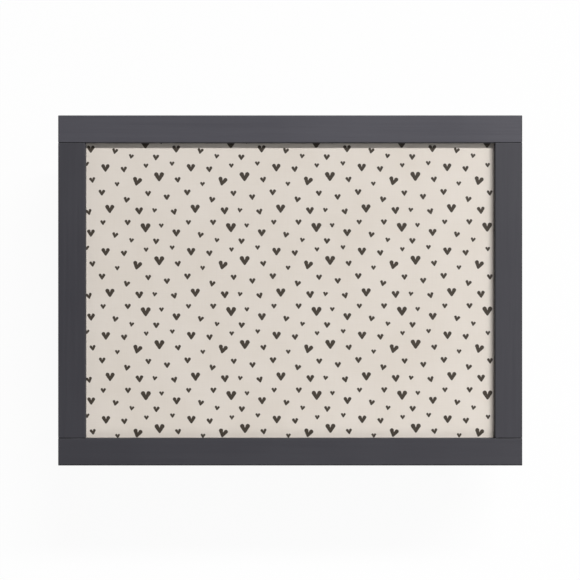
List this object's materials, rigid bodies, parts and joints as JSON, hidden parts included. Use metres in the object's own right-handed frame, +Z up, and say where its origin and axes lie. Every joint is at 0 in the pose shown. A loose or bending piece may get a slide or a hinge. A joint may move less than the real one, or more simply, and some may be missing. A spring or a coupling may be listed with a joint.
{
  "type": "lap desk",
  "caption": "Cushioned lap desk: a shallow wooden box with dividers under a framed, recessed writing panel that lifts on rear hinges to a stop just past vertical.",
  "frame": {"origin": "middle of the cushion's underside, at the bottom centre of the closed desk's bounding box", "axes": "+X to the sitter's right along the front rail, +Y from the sitter to the hinge side, +Z up"},
  "size_m": [0.44, 0.332, 0.105],
  "materials": {
    "charcoal_paint": "satin charcoal paint over smooth hardwood, arrises slightly eased",
    "bare_plywood": "sanded birch plywood",
    "bare_beech": "turned beech, unfinished",
    "printed_cloth": "cream cotton with a small scattered print, wipe-clean satin coating",
    "hinge_steel": "zinc-plated pressed steel",
    "magnet_nickel": "bright nickel plate",
    "grey_felt": "grey wool felt",
    "black_rubber": "matt black rubber",
    "hook_and_loop": "black hook-and-loop tape",
    "cushion_cotton": "mid-grey woven cotton",
    "piping_cotton": "charcoal cotton piping"
  },
  "bodies": {
    "base": {"box_front": "charcoal_paint", "box_back": "charcoal_paint", "box_left_side": "charcoal_paint", "box_right_side": "charcoal_paint", "box_dowels": "bare_beech", "box_bottom": "bare_plywood", "pen_divider": "charcoal_paint", "clip_divider": "charcoal_paint", "felt_linings": "grey_felt", "left_box_leaf": "hinge_steel", "right_box_leaf": "hinge_steel", "left_hinge_pin": "hinge_steel", "right_hinge_pin": "hinge_steel", "box_leaf_screws": "hinge_steel", "box_magnets": "magnet_nickel", "lid_buffers": "black_rubber", "hook_pads": "hook_and_loop", "loop_pads": "hook_and_loop", "cushion": "cushion_cotton", "cushion_piping": "piping_cotton"},
    "lid": {"rear_rail": "charcoal_paint", "front_rail": "charcoal_paint", "left_stile": "charcoal_paint", "right_stile": "charcoal_paint", "frame_dowels": "bare_beech", "panel_board": "bare_plywood", "panel_cover": "printed_cloth", "lid_lining_board": "bare_plywood", "rear_bead": "charcoal_paint", "front_bead": "charcoal_paint", "left_bead": "charcoal_paint", "right_bead": "charcoal_paint", "left_lid_leaf": "hinge_steel", "right_lid_leaf": "hinge_steel", "lid_leaf_screws": "hinge_steel", "lid_magnets": "magnet_nickel"}
  },
  "joints": [
    {"name": "lid_hinge", "type": "hinge", "parent": "base", "child": "lid", "pos_m": [0, 0.1615, 0.0865], "axis": [-1, 0, 0], "range_deg": [0, 95]}
  ]
}
